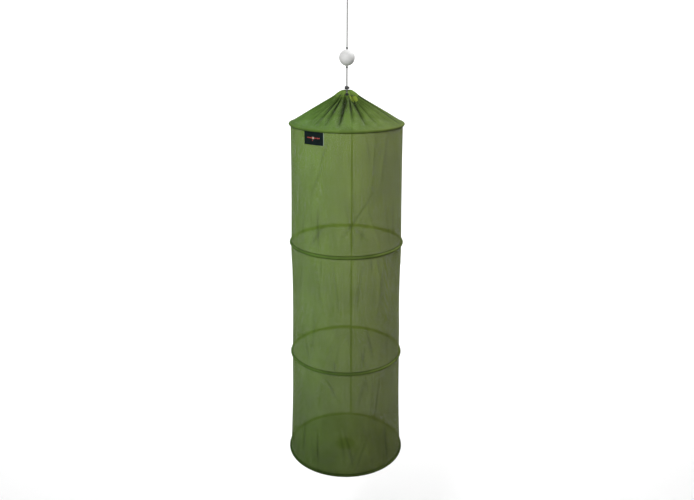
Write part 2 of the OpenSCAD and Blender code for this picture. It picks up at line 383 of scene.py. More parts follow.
def make_tone():
    """Slow, uneven dye: a colour between two, in patches and long streaks, tinted with painted light on the
    left and painted shade on the right.
    """
    group, given, out = new_group(
        "Uneven dye and side light",
        [("Vector", "NodeSocketVector", None), ("Light", "NodeSocketColor", (1, 1, 1, 1)),
         ("Dark", "NodeSocketColor", (0, 0, 0, 1)), ("Patch", "NodeSocketFloat", 9.0),
         ("Left tint", "NodeSocketColor", (1, 1, 1, 1)), ("Right tint", "NodeSocketColor", (1, 1, 1, 1))],
        [("Color", "NodeSocketColor"), ("Amount", "NodeSocketFloat")])
    w = Wires(group)
    vector = given.outputs["Vector"]
    patches = w.noise(vector, given.outputs["Patch"], 2.0)
    finer = w.math("MULTIPLY", given.outputs["Patch"], 5.0)
    streaks = w.noise(w.stretch(vector, (1.0, 1.0, 0.15)), finer, 3.0)
    both = w.math("ADD", w.math("MULTIPLY", patches, 0.6), w.math("MULTIPLY", streaks, 0.4))
    amount = w.ramp(both, 0.35, 0.65)
    dyed = w.mix(amount, given.outputs["Dark"], given.outputs["Light"])
    # painted light on the left and painted shade on the right
    across = w.ramp(w.parts(vector)[0], -SIDE_LIGHT_REACH, SIDE_LIGHT_REACH)
    tint = w.mix(across, given.outputs["Left tint"], given.outputs["Right tint"])
    w.put(w.mix(1.0, dyed, tint, "MULTIPLY"), out.inputs["Color"])
    w.put(amount, out.inputs["Amount"])
    return group


def make_speck():
    """Fine specks, for dust and the pores of moulded or foamed plastic."""
    group, given, out = new_group(
        "Specks", [("Vector", "NodeSocketVector", None), ("Scale", "NodeSocketFloat", 900.0)],
        [("Amount", "NodeSocketFloat")])
    w = Wires(group)
    cells = group.nodes.new("ShaderNodeTexVoronoi")
    w.put(given.outputs["Vector"], cells.inputs["Vector"])
    w.put(given.outputs["Scale"], cells.inputs["Scale"])
    w.put(w.ramp(cells.outputs["Distance"], 0.0, 0.7), out.inputs["Amount"])
    return group


WEAVE = make_weave()
DYE_AND_SIDE_LIGHT = make_tone()
SPECKS = make_speck()


def new_material(name, roughness, metallic=0.0):
    material = bpy.data.materials.new(name)
    material.use_nodes = True
    shader = material.node_tree.nodes["Principled BSDF"]
    shader.inputs["Roughness"].default_value = roughness
    shader.inputs["Metallic"].default_value = metallic
    return material, shader, Wires(material.node_tree)


FOLD_SHADE = 0.68  # painted shade: how much darker the cloth is painted where it lies deepest in a fold
HOLLOW_SHADE = 0.72  # the light that the hollows between threads give back
# tints for painted light on the left of the net and painted shade on its right
LEFT_LIGHT_TINT, RIGHT_SHADE_TINT = (0.78, 0.96, 0.72, 1), (0.93, 0.83, 0.70, 1)


def cloth_material(name, light, dark, pitch, thread, see_through=None, patch=9.0):
    """Dyed woven cloth, darkened with painted shade in its folds and tinted with painted light and shade
    from side to side. see_through is how much the holes still cover, or None for a close weave.
    """
    material, shader, w = new_material(name, 0.85)
    shader.inputs["Specular IOR Level"].default_value = 0.1
    weave = w.group(WEAVE, Vector=w.cloth_map(), Pitch=pitch, Thread=thread)
    dye = w.group(DYE_AND_SIDE_LIGHT, Vector=w.place(), Light=(*light, 1), Dark=(*dark, 1), Patch=patch,
                  Left_tint=LEFT_LIGHT_TINT, Right_tint=RIGHT_SHADE_TINT)
    lit = w.ramp(weave["Height"], 0.0, 0.8, HOLLOW_SHADE, 1.0)
    # painted shade: darker where the cloth lies in a fold
    after_fold_shade = w.math("SUBTRACT", 1.0, w.math("MULTIPLY", w.folded(), FOLD_SHADE))
    shade = w.mix(w.math("MULTIPLY", lit, after_fold_shade), (0, 0, 0, 1), (1, 1, 1, 1))
    w.put(w.mix(1.0, dye["Color"], shade, "MULTIPLY"), shader.inputs["Base Color"])
    w.put(w.bump(weave["Height"], 0.25, 0.3 * pitch), shader.inputs["Normal"])
    if see_through is not None:
        w.put(w.ramp(weave["Cover"], 0.0, 1.0, see_through, 1.0), shader.inputs["Alpha"])
    return material


def plastic_material(name, colour, roughness, specks=1200.0, depth=0.15):
    """Moulded or foamed plastic with fine specks, which are a little lighter and rougher."""
    material, shader, w = new_material(name, roughness)
    speck = w.group(SPECKS, Vector=w.place(), Scale=specks)["Amount"]
    lighter = tuple(min(1.0, 1.25 * c + 0.01) for c in colour)
    w.put(w.mix(speck, (*colour, 1), (*lighter, 1)), shader.inputs["Base Color"])
    w.put(w.ramp(speck, 0.0, 1.0, roughness - 0.06, roughness + 0.08), shader.inputs["Roughness"])
    w.put(w.bump(speck, depth, 0.1 * MM), shader.inputs["Normal"])
    return material


def metal_material(name, colour, roughness):
    """Drawn wire: long fine scratches, and dull patches."""
    material, shader, w = new_material(name, roughness, 1.0)
    scratches = w.noise(w.stretch(w.place(), (400.0, 400.0, 2500.0)), 1.0, 4.0)
    dull = w.noise(w.place(), 60.0)
    darker = tuple(0.7 * c for c in colour)
    w.put(w.mix(w.ramp(dull, 0.4, 0.7), (*colour, 1), (*darker, 1)), shader.inputs["Base Color"])
    w.put(w.ramp(scratches, 0.3, 0.7, roughness - 0.1, roughness + 0.12), shader.inputs["Roughness"])
    w.put(w.bump(scratches, 0.1, 0.05 * MM), shader.inputs["Normal"])
    return material


def cord_material(name, light, dark):
    """Braided yarn: painted shade in the grooves between strands, with a fine twist on each."""
    material, shader, w = new_material(name, 0.8)
    shader.inputs["Sheen Weight"].default_value = 0.2
    shader.inputs["Specular IOR Level"].default_value = 0.3
    weave = w.group(WEAVE, Vector=w.cloth_map(), Pitch=0.4 * MM, Thread=0.8)
    fuzz = w.noise(w.place(), 1800.0, 2.0)
    raised = w.math("MULTIPLY", weave["Height"], fuzz)
    # painted shade: the dark colour in the grooves, the light one on the raised strands
    w.put(w.mix(raised, (*dark, 1), (*light, 1)), shader.inputs["Base Color"])
    w.put(w.bump(weave["Height"], 0.3, 0.1 * MM), shader.inputs["Normal"])
    return material


MESH_PITCH = 0.8 * MM
SLEEVE_PITCH = 0.8 * MM  # of the close weave of the sleeves and the sewn edges
HEM_PITCH = 0.9 * MM
LABEL_PITCH = 0.35 * MM
THREAD_PITCH = 0.3 * MM
CLOSE = 0.85  # threads of a close weave, as a share of their pitch
MESH = cloth_material("mesh", (0.176, 0.250, 0.050), (0.142, 0.200, 0.040), MESH_PITCH, 0.55, 0.18)
PANEL = cloth_material("mouth mesh", (0.114, 0.188, 0.043), (0.078, 0.13, 0.029), MESH_PITCH, 0.65, 0.4)
HEM = cloth_material("hem", (0.16, 0.245, 0.055), (0.115, 0.185, 0.042), HEM_PITCH, CLOSE)
HEM_PALE = cloth_material("hem end", (0.27, 0.36, 0.06), (0.21, 0.29, 0.045), HEM_PITCH, CLOSE)
RUST = cloth_material("rust thread", (0.22, 0.09, 0.03), (0.14, 0.05, 0.02), THREAD_PITCH, CLOSE)
SLEEVE = cloth_material("sleeve", (0.12, 0.18, 0.042), (0.085, 0.13, 0.03), SLEEVE_PITCH, CLOSE)
DARK_SLEEVE = cloth_material("base sleeve", (0.06, 0.09, 0.022), (0.04, 0.065, 0.016), SLEEVE_PITCH, CLOSE)
# partly real and partly painted shade: the doubled cloth beside each sleeve, coloured darker than that cloth
SHADED_EDGE = cloth_material("sewn edge", (0.055, 0.08, 0.02), (0.035, 0.055, 0.014), SLEEVE_PITCH, CLOSE)
TAPE = cloth_material("seam tape", (0.03, 0.05, 0.014), (0.02, 0.036, 0.01), 0.7 * MM, CLOSE)
BASE = cloth_material("base mesh", (0.078, 0.128, 0.031), (0.06, 0.10, 0.024), MESH_PITCH, 0.6, 0.5)
PATCH = cloth_material("base patch", (0.05, 0.10, 0.03), (0.04, 0.08, 0.022), HEM_PITCH, CLOSE)
LABEL = cloth_material("label", (0.006, 0.012, 0.016), (0.004, 0.009, 0.011), LABEL_PITCH, CLOSE, patch=40.0)
MARK = cloth_material("label mark", (0.55, 0.09, 0.09), (0.42, 0.05, 0.06), LABEL_PITCH, 0.7, patch=60.0)
MARK_PALE = cloth_material("label mark pale", (0.75, 0.5, 0.5), (0.65, 0.4, 0.42), LABEL_PITCH, 0.7,
                           patch=60.0)
LABEL_EDGE = cloth_material("label edge", (0.32, 0.36, 0.33), (0.25, 0.29, 0.27), 0.4 * MM, 0.8, patch=40.0)
THREAD = cloth_material("thread", (0.05, 0.09, 0.025), (0.035, 0.065, 0.018), THREAD_PITCH, CLOSE)
# the second colour is the painted shade in the grooves
CORD = cord_material("cord", (0.035, 0.035, 0.034), (0.008, 0.008, 0.008))
FOAM = plastic_material("foam", (0.49, 0.49, 0.485), 0.55, 700.0, 0.2)
BLACK = plastic_material("black plastic", (0.012, 0.012, 0.013), 0.42)
EYELET = metal_material("black metal", (0.03, 0.03, 0.032), 0.4)
STEEL = metal_material("drawn steel", (0.5, 0.51, 0.53), 0.35)


# ---------------- cords

HANG_D = 4 * MM
HANG_ROUTE = [
    (0, 0, -312), (0, 0, -280), (0, 0, -250), (0, 0, -200), (0, 0, -150), (0, 0, -110),
    (0, 0, -90), (0.4, 0, -80), (2, 0, -70), (6, 0, -58), (10, 0, -45), (12.5, 0, -32),
    (12.5, 0, -20), (10.5, 0, -10), (7.5, 0, -3.5), (4, 0, 0.5), (0, 0, 2), (-4, 0, 0.5),
    (-7.5, 0, -3.5), (-10.5, 0, -10), (-12.5, 0, -20), (-12.5, 0, -32), (-10, 0, -45),
    (-7, 0, -58), (-5.2, 0, -68), (-4.9, 0, -76), (-4.9, 0, -88)]
DRAW_D = 2.2 * MM
LEG_X = 1.25  # from the middle to each leg of the drawstring, in millimetres
LEG_ROUTE = [
    (LEG_X, 0, -313), (LEG_X, 0, -345), (LEG_X, 0, -383), (LEG_X, 0, -386),
    (LEG_X, -1.6, -388), (LEG_X, -5, -388.4), (LEG_X, -10, -387.2), (LEG_X, -17, -386.2),
    (LEG_X, -23, -388.4), (LEG_X, -29, -391.4), (LEG_X, -33.6, -393.2), (LEG_X, -36.8, -393.8),
    (LEG_X, -38.6, -395.2), (LEG_X, -38.2, -396.9), (LEG_X, -37, -398.6),
    (LEG_X, -35.6, -400.6), (LEG_X + 0.8, -34.5, -402.3), (LEG_X + 3.2, -34, -403)]
CHANNEL = (34, -403)  # radius and height of the drawstring's ring inside the hem, in millimetres
RING_FROM, RING_TURN, RING_STEPS = -79, 338, 30  # where the ring starts and how far it turns, in degrees
STOPPER = (7.6 * MM, 2.3 * MM, HANG_D, 1.6)  # height, winding radius, cord and turns of a knot at the float
LOOP_KNOT = (14.8 * MM, 4.4 * MM, HANG_D, 3)
KNOT_TURN_BACK = 24  # points of the turn laid across a knot


def draw_route():
    """Down one leg of the drawstring, round inside the hem, and up the other leg."""
    r, z = CHANNEL
    az = [math.radians(RING_FROM + k * RING_TURN / RING_STEPS) for k in range(RING_STEPS + 1)]
    ring = [(r * math.cos(a), r * math.sin(a), z) for a in az]
    return LEG_ROUTE + ring + [(-x, y, z) for x, y, z in reversed(LEG_ROUTE)]


def knot(name, node, height, winding_r, cord_d, turns):
    """A stopper knot: the cord wound round itself, with its ends tucked in and one turn laid across."""
    low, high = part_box(node)
    middle = (low.z + high.z) / 2
    reach = (height - cord_d) / 2
    share = np.linspace(0, 1, 60)
    turn = 2 * math.pi * turns * share
    tucked = winding_r * np.sin(math.pi * share) ** 0.3
    windings = round_points(turn, tucked, middle + reach * (2 * share - 1))
    back = np.linspace(0, 1, KNOT_TURN_BACK)
    back_az = turn[-1] + math.pi * (0.15 + 0.7 * back)
    back_r = winding_r * (0.4 + 0.6 * np.sin(math.pi * back))
    across = round_points(back_az, back_r, middle + reach * (1 - 2 * back))
    line = smooth_line(np.vstack([windings, across])[::3], 0.5 * MM)
    return place(braided(name, line, cord_d, CORD, 16), "line", node, slot="cord")


def make_cords():
    """Both cords with their middle lines, and the three knots."""
    hang = smooth_line(np.array(HANG_ROUTE) * MM, 0.6 * MM)
    hanging = place(braided("hanging_cord", hang, HANG_D, CORD), "line", "hang_cord", slot="cord")
    draw = smooth_line(np.array(draw_route()) * MM, 0.5 * MM)
    drawn = place(braided("drawstring", draw, DRAW_D, CORD, 16), "line", "draw_cord", slot="cord")
    loop = knot("end_loop_knot", "loop_knot", *LOOP_KNOT)
    upper = knot("knot_over_float", "float_upper_knot", *STOPPER)
    lower = knot("knot_under_float", "float_lower_knot", *STOPPER)
    return hang, draw, hanging, drawn, [loop, upper, lower]


FLOAT_BORE_R, FLOAT_LIP = 3 * MM, 1.2 * MM
MOULD_LINE_H, MOULD_LINE_W = 0.25 * MM, 0.5 * MM


def make_float():
    """A foam ball turned round its bore, with soft lips and a fine mould line round its middle."""
    low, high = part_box("float_ball")
    middle, radius = (low.z + high.z) / 2, (high.x - low.x) / 2
    first = math.asin((FLOAT_BORE_R + FLOAT_LIP) / radius)
    lat = np.linspace(first, math.pi - first, 64)
    line = MOULD_LINE_H * np.exp(-((lat - math.pi / 2) * radius / MOULD_LINE_W) ** 2)
    shell = [(r * math.sin(a), middle + r * math.cos(a)) for a, r in zip(lat, radius - MOULD_LINE_H + line)]
    top = shell[0][1]
    lips = [(FLOAT_BORE_R + FLOAT_LIP * (1 - math.cos(b)), top - FLOAT_LIP * (1 - math.sin(b)))
            for b in np.linspace(0, math.pi / 2, 5)]
    lower_lips = [(r, 2 * middle - z) for r, z in reversed(lips)]
    piece = turned("foam_ball", lips + shell[1:-1] + lower_lips, FOAM)
    return place(piece, "float", "float_ball", slot="foam")


hang_line, draw_line, hanging_cord, drawstring, knots = make_cords()
foam_ball = make_float()


# ---------------- stitches

STITCH_END = 0.12  # how far round its arch a stitch starts, so that its ends are blunt


def stitch_row(name, centres, along, length, thick, material):
    """A row of short stitches: each one is a thread that rises out of the cloth and goes back in."""
    sides, rings = 5, (0.0, 0.25, 0.5, 0.75, 1.0)
    turn = np.arange(sides) * 2 * math.pi / sides
    up = centres * (1, 1, 0)
    up = up / np.linalg.norm(up, axis=1)[:, None]
    side = np.cross(along, up)
    points, faces = [], []
    for centre, t, n, s in zip(centres, along, up, side):
        first = len(points)
        for share in rings:
            swell = math.sin(math.pi * (STITCH_END + (1 - 2 * STITCH_END) * share))
            middle = centre + t * length * (share - 0.5) + n * thick * (swell - 0.6)
            points += [middle + thick / 2 * swell * (math.cos(a) * n + math.sin(a) * s) for a in turn]
        for k in range(len(rings) - 1):
            for m in range(sides):
                a, b = first + k * sides + m, first + k * sides + (m + 1) % sides
                faces.append((a, b, b + sides, a + sides))
    return new_piece(name, points, faces, material)


# ---------------- the drawn mouth

ROUND = 720  # points round the mouth
FRONT_FOLDS = (  # azimuth in degrees, depth and then the radius that it reaches, in millimetres
    (-177, 8, 150), (-170, 10, 186), (-163, 12, 190), (-155, 8, 150), (-148, 13, 192), (-140, 14, 190),
    (-133, 8, 130), (-126, 16, 193), (-119, 8, 130), (-114, 16, 190), (-107, 8, 110), (-100, 20, 196),
    (-92, 8, 120), (-83, 13, 170), (-76, 7, 120), (-69, 17, 193), (-61, 8, 130), (-53, 15, 192),
    (-45, 9, 150), (-38, 8, 120), (-32, 12, 186), (-26, 6, 110), (-12, 10, 170), (-5, 8, 150))
BACK_FOLDS = tuple((az, 8 + 3 * math.sin(1.7 * az), 155 + 35 * math.sin(0.9 * az))
                   for az in range(0, 180, 11))  # the same for the far side, uneven in depth and reach
RIDGE_AZ, RIDGE_H, RIDGE_W = -86, 2.2 * MM, 3 * MM  # a pinched line down the front
CONE_TILT = math.atan(HEM_FALL)
CONE_UP = np.array([math.sin(CONE_TILT), math.cos(CONE_TILT)])  # outward and upward from the cone
EYELET_CLEAR = 9 * MM  # the cloth lies flat this near the eyelet
EYELET_HOLE_R = 4.2 * MM
FOLD_W, USUAL_DEPTH = 3.6 * MM, 10  # half the width of a fold of that many mm, where it leaves the hem
FOLD_WIDENS = 0.45  # how fast a fold widens outward, as a power of the radius
DEEP_WIDENS = 0.6  # how much wider a deep fold is, as a power of its depth
FOLD_SHARP = 1.5  # 1 is a crease and 2 is a soft wave
FOLD_FADE = 0.55  # how late a fold fades on its way out, as a power
FOLD_FULL_R = 62 * MM  # the folds are deepest here
FOLD_END = 30 * MM  # and die out over this far from the top hoop
FOLD_LEAN = 0.35  # how far the cloth leans over a fold, as a share of its depth
# a fold this deep gets the full painted shade
DEEPEST_FOLD = 12 * MM
HEM_END_AZ, HEM_END_R, HEM_END_L, HEM_END_W = -58, 40 * MM, 18 * MM, 30 * MM
PLEATS, PLEAT_DEPTH, PLEAT_REACH = 72, 2.1 * MM, 175 * MM  # fine pleats between the folds
PLEAT_DRIFT = ((1.3, 5, 0), (0.9, 13, 1), (0.5, 29, 2))  # size, waves and phase of their uneven spacing


def apart(a, b):
    """The angle between two azimuths in radians, from minus to plus half a turn."""
    return (a - b + math.pi) % (2 * math.pi) - math.pi


def fold_depth(az, r):
    """How far the gathered cloth lies under the cone at a place, and how far its folds lean."""
    folds = FRONT_FOLDS + BACK_FOLDS
    spacing = 2 * math.pi * r / len(folds)
    width = np.minimum(FOLD_W * (r / HEM_R) ** FOLD_WIDENS, 0.5 * spacing)
    gather = np.clip((r - 0.5 * RIM_R) / (FOLD_FULL_R - 0.5 * RIM_R), 0, 1)
    depth = np.zeros(np.broadcast(az, r).shape)
    lean = np.zeros_like(depth)
    for at, deepest, reach in folds:
        broad = width * (deepest / USUAL_DEPTH) ** DEEP_WIDENS
        away = apart(az, math.radians(at)) * r / broad
        fade = np.clip((reach * MM - r) / (reach * MM - FOLD_FULL_R), 0, 1) ** FOLD_FADE
        here = deepest * MM * gather * fade
        depth = np.maximum(depth, here * np.exp(-np.abs(away) ** FOLD_SHARP))
        lean += FOLD_LEAN * here * np.exp(-away ** 2) * math.copysign(1, math.sin(3 * at))
    drift = sum(size * np.sin(waves * az + phase) for size, waves, phase in PLEAT_DRIFT)
    pleat_end = PLEAT_REACH * (0.8 + 0.2 * np.sin(7 * az))
    fade = np.clip((pleat_end - r) / (PLEAT_REACH - HEM_R), 0, 1) ** 0.5
    pleat = PLEAT_DEPTH * (0.7 + 0.3 * np.sin(11 * az + 2)) * gather * fade
    depth += pleat * (0.5 + 0.5 * np.sin(PLEATS * az + drift))
    return depth, lean


def mouth_points(az, r, lift=0.0):
    """Points on the gathered cone, and how far each lies in a fold, for the painted shade of its folds.
    lift raises them off the cone.
    """
    depth, lean = fold_depth(az, r)
    ridge = RIDGE_H * np.exp(-(apart(az, math.radians(RIDGE_AZ)) * r / RIDGE_W) ** 2)
    near_ring = np.clip((HOOP["top"][0] - r) / FOLD_END, 0, 1)
    eyelet = np.clip(np.hypot(apart(az, -math.pi / 2) * r, r - EYELET_R) / EYELET_CLEAR - 1, 0, 1)
    sink = (depth - ridge) * near_ring * eyelet - lift
    radius = r - sink * CONE_UP[0]
    height = RIM_Z - HEM_FALL * (r - RIM_R) - sink * CONE_UP[1]
    # painted shade: the deeper the fold, the darker its cloth
    folded = (depth / DEEPEST_FOLD * near_ring).clip(0, 1) ** 2
    return round_points(az + lean * eyelet / r, radius, height), folded


PANEL_ROWS, HEM_OVERLAP = 110, 2 * MM


def make_mouth_panel():
    """The cone of mesh, gathered into the hem and smooth at the hoop, and its length down the slope."""
    top_r = HOOP["top"][0]
    end = top_r - WALL_INSET
    r = np.linspace(HEM_R - HEM_OVERLAP, end, PANEL_ROWS)[:, None]
    points, folded = mouth_points(around(ROUND), r)
    drop = RIM_Z - HEM_FALL * (end - RIM_R) - PANEL_FOOT_Z
    points[..., 2] -= drop * ((r - HEM_R) / (end - HEM_R)).clip(0, 1)
    slant = (end - HEM_R) / math.cos(CONE_TILT)
    piece = grid_piece("mouth_cone", points, PANEL, (2 * math.pi * top_r, slant), folded=folded)
    return place(piece, "line", "mouth_panel", slot="mesh_fabric"), slant


HEM_ROWS = 34  # from its foot to the rim
HEM_PUFF, HEM_LIFT = 1.2 * MM, 0.6 * MM  # how far the casing swells, and stands off the cone
HEM_INSIDE = HEM_T - 1.5 * MM  # from the cone down to the inside of the casing
RIM_BULGE, RIM_SHARES = 1.6 * MM, (0.15, 0.35, 0.6, 0.85)  # of the rounded rim, from outside to inside
FRILL_WAVES, FRILL_H, FRILL_ROWS = 31, 0.5 * MM, 4
HEM_FLAT = 70 * MM  # over the rim and back, as cloth laid flat


def make_hem():
    """The gathered casing of the drawstring: over the rim, down inside, and back under."""
    over = np.linspace(HEM_R + 1 * MM, RIM_R, HEM_ROWS)[:, None]
    puff = HEM_PUFF * np.sin(math.pi * (over - RIM_R) / (HEM_R - RIM_R)).clip(0) + HEM_LIFT
    outer, folded = mouth_points(around(ROUND), over, puff)
    inner, _ = mouth_points(around(ROUND), over[::-1], -HEM_INSIDE)
    rim = []
    for share in RIM_SHARES:
        middle = outer[-1] * (1 - share) + inner[0] * share
        bulge = RIM_BULGE * math.sin(math.pi * share)
        length = np.linalg.norm(middle[:, :2], axis=1)[:, None]
        middle[:, :2] *= 1 - bulge / length
        middle[:, 2] += bulge
        rim.append(middle)
    points = np.concatenate([outer, np.array(rim), inner, outer[:1]])
    frilled = slice(len(over) - FRILL_ROWS, len(over) + len(rim) + FRILL_ROWS)
    points[frilled, :, 2] += FRILL_H * np.sin(FRILL_WAVES * around(ROUND))
    middle = (points[:-1] + points[1:]) / 2
    in_hole = np.hypot(middle[..., 0], middle[..., 1] + EYELET_R) < EYELET_HOLE_R
    outside = np.arange(len(middle))[:, None] < len(over)
    # painted shade: the rim and inside of the casing get half the full darkening, the outside the shade of
    # the folds
    shade = np.full(points.shape[:2], 0.5)
    shade[:len(over)] = folded
    piece = grid_piece("gathered_hem", points[::-1], HEM, (2 * math.pi * HEM_R, HEM_FLAT),
                       keep=~(in_hole & outside)[::-1], folded=shade[::-1])
    return place(piece, "line", "mouth_hem", slot="hem_fabric")


HEM_END_T = 1.8 * MM  # through the turned-back end at its middle
END_STITCH_L, END_STITCH_T = 2 * MM, 1.2 * MM


def make_hem_end():
    """The end of the hem's casing, turned back over the cone by the eyelet, and a row of thread on it."""
    across = np.linspace(-0.5, 0.5, 25)[None, :]
    down = np.linspace(0, 1, 17)[:, None]
    r = HEM_END_R + HEM_END_L * down * (1 + 0.25 * across)
    az = math.radians(HEM_END_AZ) + across * HEM_END_W / r
    rounded = 1 - np.maximum(np.abs(2 * across), np.abs(2 * down - 1)) ** 6
    points, folded = mouth_points(az, r, 0.5 * MM + HEM_END_T * rounded)
    # a weaker painted shade of the folds under the turned-back end
    end = grid_piece("hem_end", points, HEM_PALE, (HEM_END_W, HEM_END_L), wrap=False, folded=0.3 * folded)
    place(end, "line", slot="hem_fabric")
    stitch_az = az[0, ::2]
    stitch_r = np.full((1, len(stitch_az)), HEM_END_R + 1.5 * MM)
    centres, _ = mouth_points(stitch_az[None, :], stitch_r, HEM_END_T + 0.6 * MM)
    along = np.stack([-np.sin(stitch_az), np.cos(stitch_az), np.zeros(len(stitch_az))], -1)
    thread = stitch_row("hem_end_thread", centres[0], along, END_STITCH_L, END_STITCH_T, RUST)
    return [end, place(thread, "line", slot="hem_fabric")]


def tape_rise(across, middle, crease, turned_in):
    """The height of a folded tape over its cloth, from -0.5 to 0.5 across it: two creases and low edges."""
    return middle + crease * np.cos(4 * math.pi * across) - turned_in * (2 * across) ** 4


def make_mouth_seam():
    """The folded seam down the right of the cone, standing a little off it."""
    r = np.linspace(HEM_R, HOOP["top"][0] - 2 * WALL_INSET, 90)[:, None]
    across = np.linspace(-0.5, 0.5, 9)[None, :]
    az = math.radians(MOUTH_SEAM_AZ) + across * TAPE_W / r
    points, _ = mouth_points(az, r, tape_rise(across, 1.1 * MM, 0.3 * MM, 0.9 * MM))
    piece = grid_piece("mouth_seam_tape", points, TAPE, (TAPE_W, 170 * MM), wrap=False)
    return place(piece, "line", "mouth_seam", slot="seam_tape")


def fold_with(piece, joint, top, foot):
    """Gives a soft piece a mesh of its own. joint, top and foot are not used."""
    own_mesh(piece)


mouth_cone, cone_slant = make_mouth_panel()
gathered_hem = make_hem()
hem_ends = make_hem_end()
mouth_seam = make_mouth_seam()
hem_foot_z = RIM_Z - HEM_FALL * (HEM_R - RIM_R)
for soft in (mouth_cone, mouth_seam, *hem_ends):
    fold_with(soft, "mouth_fold", hem_foot_z, PANEL_FOOT_Z)


# ---------------- walls

WALL_ROUND, WALL_ROWS = 480, 110
WAIST = {"upper": 1.0 * MM, "middle": 3.0 * MM, "lower": 2.5 * MM}  # how far a wall draws in half way down
UPRIGHT_WAVES, UPRIGHT_DEPTH = (6, 9, 13, 19, 27, 38), 2.6 * MM  # round a wall, the finer the less deep
DEEPEST_WRINKLE = 4.8  # in millimetres: a wrinkle this deep gets the darkest painted shade
SMALL_WRINKLES = 60  # more of them, at random places along the hoops
SMALL_REACH, SMALL_SLANT = (0.12, 0.5), 60  # a share of the wall, and degrees aside for a whole wall
SMALL_WIDTH, SMALL_DEPTH = (3, 7), (0.8, 2.4)  # in millimetres
SEWN_FLAT = 14 * MM  # the relief grows from nothing over this far from a hoop
FOOT_DARKENING = 0.5  # how much darker the foot of the lowest wall is painted, as a share of the full fold darkening
FOOT_DARK_FROM, FOOT_DARK_FULL = 0.1, 0.9  # shares of the way down that wall
WRINKLES = {  # both ends, as an azimuth in degrees and a share of the way down, then width and depth in mm
    "upper": (
        (-60, 0.46, -99, 0.90, 5, -2.2), (-113, 0.24, -127, 0.52, 6, -2), (-106, 0.03, -118, 0.28, 5, -2),
        (-86, 0.73, -66, 0.88, 5, -2), (-88, 0.02, -84, 0.70, 7, 3), (-52, 0.99, -70, 0.62, 6, 3.5),
        (-48, 0.0, -56, 0.45, 8, 3), (-132, 0.99, -108, 0.70, 7, -2), (-38, 0.98, -33, 0.55, 6, -2)),
    "middle": (
        (-104, 0.02, -96, 0.52, 7, -1.6), (-72, 0.02, -80, 0.45, 7, -1.4), (-122, 0.0, -112, 0.5, 8, 3),
        (-58, 0.98, -72, 0.5, 7, -1.8), (-114, 0.98, -100, 0.62, 6, 3), (-50, 0.05, -58, 0.6, 8, 3),
        (-84, 0.98, -90, 0.6, 7, 2.5), (-130, 0.95, -122, 0.5, 7, -1.6)),
    "lower": (
        (-112, 0.02, -96, 0.30, 7, -1.8), (-68, 0.02, -80, 0.36, 7, -1.5), (-128, 0.97, -110, 0.6, 7, 3),
        (-62, 0.98, -74, 0.5, 6, 3), (-90, 0.9, -97, 0.5, 7, -1.4), (-52, 0.05, -60, 0.55, 7, -1.8)),
}


def wrinkle(az, down, height, radius, start_az, start_down, end_az, end_down, width):
    """1 along the line between two places on a wall, fading to both sides of it and to its ends."""
    x = apart(az, math.radians(start_az)) * radius
    y = (down - start_down) * height
    to_x, to_y = math.radians(end_az - start_az) * radius, (end_down - start_down) * height
    length = math.hypot(to_x, to_y)
    run = (x * to_x + y * to_y) / length ** 2
    off = (x * to_y - y * to_x) / length / (width * MM)
    return np.clip(4 * run * (1 - run), 0, 1) ** 0.6 * np.exp(-off ** 2)


def wall_relief(az, down, height, radius, section):
    """How far the cloth stands off its smooth shape, in soft upright folds and in wrinkles drawn from the
    hoops, and how dark it is painted: painted shade in its hollow wrinkles, and on the lowest wall darker
    towards the foot."""
    pick = np.random.default_rng(len(section) + 11)
    relief = np.zeros(np.broadcast(az, down).shape)
    between_hoops = 0.4 + 0.6 * np.sin(math.pi * down)
    for waves in UPRIGHT_WAVES:
        phase, drift = pick.uniform(0, 2 * math.pi), pick.uniform(-0.8, 0.8)
        relief += UPRIGHT_DEPTH / waves * np.sin(waves * az + phase + drift * down) * between_hoops
    wrinkles = list(WRINKLES[section])
    for _ in range(SMALL_WRINKLES):
        hoop, at, reach = pick.choice((0.0, 1.0)), pick.uniform(-180, 180), pick.uniform(*SMALL_REACH)
        end_az, width = at + pick.uniform(-SMALL_SLANT, SMALL_SLANT) * reach, pick.uniform(*SMALL_WIDTH)
        depth = pick.uniform(*SMALL_DEPTH) * pick.choice((-1, 1))
        wrinkles.append((at, hoop, end_az, abs(hoop - reach), width, depth))
    folded = np.zeros_like(relief)
    for *ends, width, depth in wrinkles:
        here = wrinkle(az, down, height, radius, *ends, width)
        relief += depth * MM * here
        # painted shade in the hollow wrinkles
        folded += np.maximum(0, -depth) / DEEPEST_WRINKLE * here ** 2
    # the lowest wall is painted darker towards its foot
    if section == "lower":
        folded += FOOT_DARKENING * np.clip((down - FOOT_DARK_FROM) / (FOOT_DARK_FULL - FOOT_DARK_FROM), 0, 1)
    edge = np.clip(np.minimum(down, 1 - down) * height / SEWN_FLAT, 0, 1)
    return relief * edge, folded.clip(0, 1)


def wall_radius(az, down, upper, lower, section):
    """How far a wall stands from the net's axis, and its painted shade, a share of the way down."""
    r1, r2 = HOOP[upper][0] - WALL_INSET, HOOP[lower][0] - WALL_INSET
    height = HOOP[upper][1] - HOOP[lower][1]
    smooth = r1 + (r2 - r1) * down - WAIST[section] * np.sin(math.pi * down)
    relief, folded = wall_relief(az, down, height, (r1 + r2) / 2, section)
    return smooth + relief, folded


def wall_ends(upper, lower):
    """The heights of a wall's two edges, just inside the sleeves."""
    return HOOP[upper][1] - WALL_EDGE, HOOP[lower][1] + WALL_EDGE


